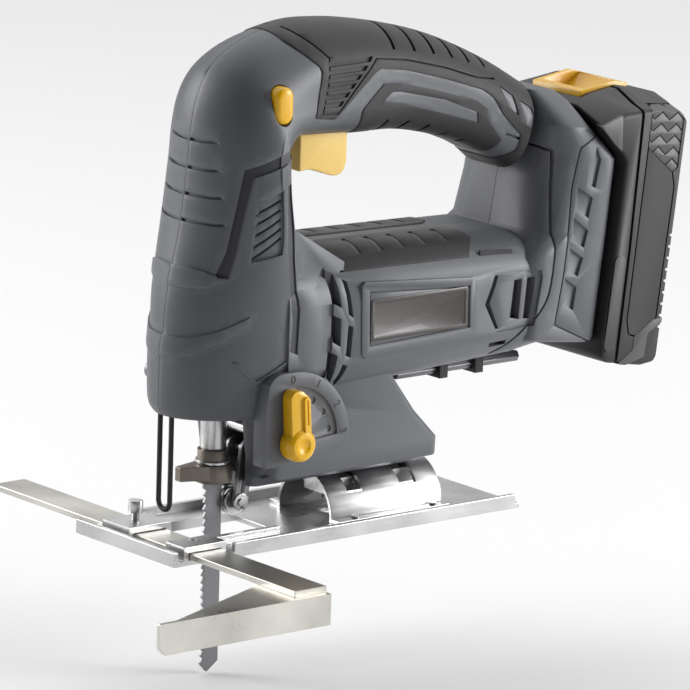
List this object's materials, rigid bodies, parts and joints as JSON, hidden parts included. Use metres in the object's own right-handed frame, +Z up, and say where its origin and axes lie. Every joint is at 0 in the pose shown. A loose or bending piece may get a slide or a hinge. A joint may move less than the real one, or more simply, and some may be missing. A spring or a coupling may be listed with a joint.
{
  "type": "cordless jigsaw",
  "caption": "Cordless jigsaw with D-handle, geared reciprocating blade, bevelling sole plate, side fence, orbital selector and slide-on battery pack.",
  "frame": {"origin": "centre of the sole plate's underside", "axes": "+X back towards the battery, +Y to the machine's right, +Z up out of the handle; the blade points down and cuts towards -X"},
  "size_m": [0.3042, 0.193, 0.2518],
  "materials": {
    "shell": "fine-textured moulded nylon, semi-matt",
    "grip": "soft moulded rubber, matt",
    "nameplate": "satin metallic label stock",
    "dial": "dark satin plastic with pale numbers",
    "knob": "semi-gloss yellow plastic",
    "trigger": "semi-gloss amber plastic",
    "screw": "blackened steel",
    "wire": "black enamel",
    "steel": "machined steel",
    "zinc": "bright zinc-plated steel sheet",
    "nickel": "warm nickel-plated steel strip",
    "dark_steel": "hardened blade steel",
    "bronze": "bronze-grey sintered metal",
    "copper": "copper and bronze",
    "alloy": "die-cast alloy",
    "nylon": "natural nylon",
    "black_plastic": "black textured plastic",
    "board": "glass-fibre board",
    "cell": "sleeved cells"
  },
  "bodies": {
    "housing": {"left_shell": "shell", "right_shell": "shell", "left_grip": "grip", "right_grip": "grip", "left_barrel_pad": "grip", "right_barrel_pad": "grip", "left_nameplate": "nameplate", "right_nameplate": "nameplate", "dial_plate": "dial", "housing_screws": "screw", "wire_guard": "wire", "motor_can": "steel", "motor_magnets": "dark_steel", "motor_end_cap": "nylon", "front_bearing": "steel", "rear_bearing": "steel", "gear_frame": "alloy", "gear_axle": "steel", "upper_bush": "copper", "lower_bush": "copper", "switch_body": "black_plastic", "trigger_spring": "steel", "lock_spring": "steel", "control_board": "board", "terminal_block": "black_plastic", "key_clip": "black_plastic", "fork_pivot_pin": "steel", "clamp_shoe": "steel", "clamp_bolts": "screw"},
    "rotor": {"armature": "steel", "pinion": "steel", "cooling_fan": "nylon"},
    "crank": {"drive_gear": "steel", "crank_roller": "steel"},
    "ram": {"plunger": "steel", "clamp_holder": "bronze", "clamp_spring": "steel", "blade": "dark_steel"},
    "collar": {"clamp_collar": "bronze"},
    "fork": {"roller_fork": "dark_steel", "roller_pin": "steel", "roller_clip": "steel"},
    "roller": {"support_roller": "steel"},
    "selector": {"selector_knob": "knob", "selector_shaft": "steel"},
    "sole": {"base_plate": "zinc", "bevel_saddle": "zinc", "saddle_rivets": "zinc"},
    "fence": {"fence_bar": "nickel", "fence_plate": "nickel"},
    "thumbscrew": {"fence_screw": "zinc"},
    "trigger_lever": {"trigger": "trigger"},
    "lock": {"lock_button": "knob"},
    "key": {"hex_key": "screw"},
    "battery": {"battery_case": "black_plastic", "battery_cover": "black_plastic", "battery_cells": "cell", "battery_contacts": "copper", "release_spring": "steel"},
    "battery_button": {"release_button": "knob"}
  },
  "joints": [
    {"name": "motor_spin", "type": "hinge", "parent": "housing", "child": "rotor", "pos_m": [0, 0, 0.0845], "axis": [1, 0, 0], "continuous": true},
    {"name": "gear_spin", "type": "hinge", "parent": "housing", "child": "crank", "pos_m": [-0.0335, 0, 0.10235], "axis": [1, 0, 0], "continuous": true},
    {"name": "plunge", "type": "slide", "parent": "housing", "child": "ram", "axis": [0, 0, 1], "range_m": [-0.003, 0.017]},
    {"name": "collar_turn", "type": "hinge", "parent": "ram", "child": "collar", "pos_m": [-0.0436, 0, 0.025], "axis": [0, 0, 1], "range_deg": [0, 45], "stiffness_Nm_per_rad": 0.05, "springref_deg": -11.46},
    {"name": "orbit_swing", "type": "hinge", "parent": "housing", "child": "fork", "pos_m": [-0.0295, 0, 0.033], "axis": [0, 1, 0], "range_deg": [-6, 0]},
    {"name": "roller_spin", "type": "hinge", "parent": "fork", "child": "roller", "pos_m": [-0.0338, 0, 0.013], "axis": [0, 1, 0], "continuous": true},
    {"name": "orbit_select", "type": "hinge", "parent": "housing", "child": "selector", "pos_m": [-0.0316, 0, 0.0421], "axis": [0, 1, 0], "range_deg": [0, 80]},
    {"name": "bevel", "type": "hinge", "parent": "housing", "child": "sole", "pos_m": [0, 0, 0.003], "axis": [1, 0, 0], "range_deg": [-45, 45]},
    {"name": "fence_slide", "type": "slide", "parent": "sole", "child": "fence", "axis": [0, 1, 0], "range_m": [-0.06, 0.041]},
    {"name": "thumbscrew_turn", "type": "hinge", "parent": "sole", "child": "thumbscrew", "pos_m": [-0.071, 0.012, 0.01], "axis": [0, 0, 1], "continuous": true},
    {"name": "trigger_pull", "type": "slide", "parent": "housing", "child": "trigger_lever", "axis": [0, 0, 1], "range_m": [0, 0.006], "stiffness_N_per_m": 500, "springref_m": -0.004, "deforming": ["trigger_spring"]},
    {"name": "lock_press", "type": "slide", "parent": "housing", "child": "lock", "axis": [0, 1, 0], "range_m": [0, 0.0035], "stiffness_N_per_m": 500, "springref_m": -0.003, "deforming": ["lock_spring"]},
    {"name": "key_slide", "type": "slide", "parent": "housing", "child": "key", "axis": [1, 0, 0], "range_m": [0, 0.008]},
    {"name": "battery_slide", "type": "slide", "parent": "housing", "child": "battery", "axis": [0.1219, 0, 0.9925], "range_m": [0, 0.09]},
    {"name": "release_press", "type": "slide", "parent": "battery", "child": "battery_button", "axis": [-0.1219, 0, -0.9925], "range_m": [0, 0.003], "stiffness_N_per_m": 600, "springref_m": -0.003, "deforming": ["release_spring"]}
  ],
  "couplings": [
    {"joint": "gear_spin", "follows": "motor_spin", "ratio": -0.21429}
  ]
}
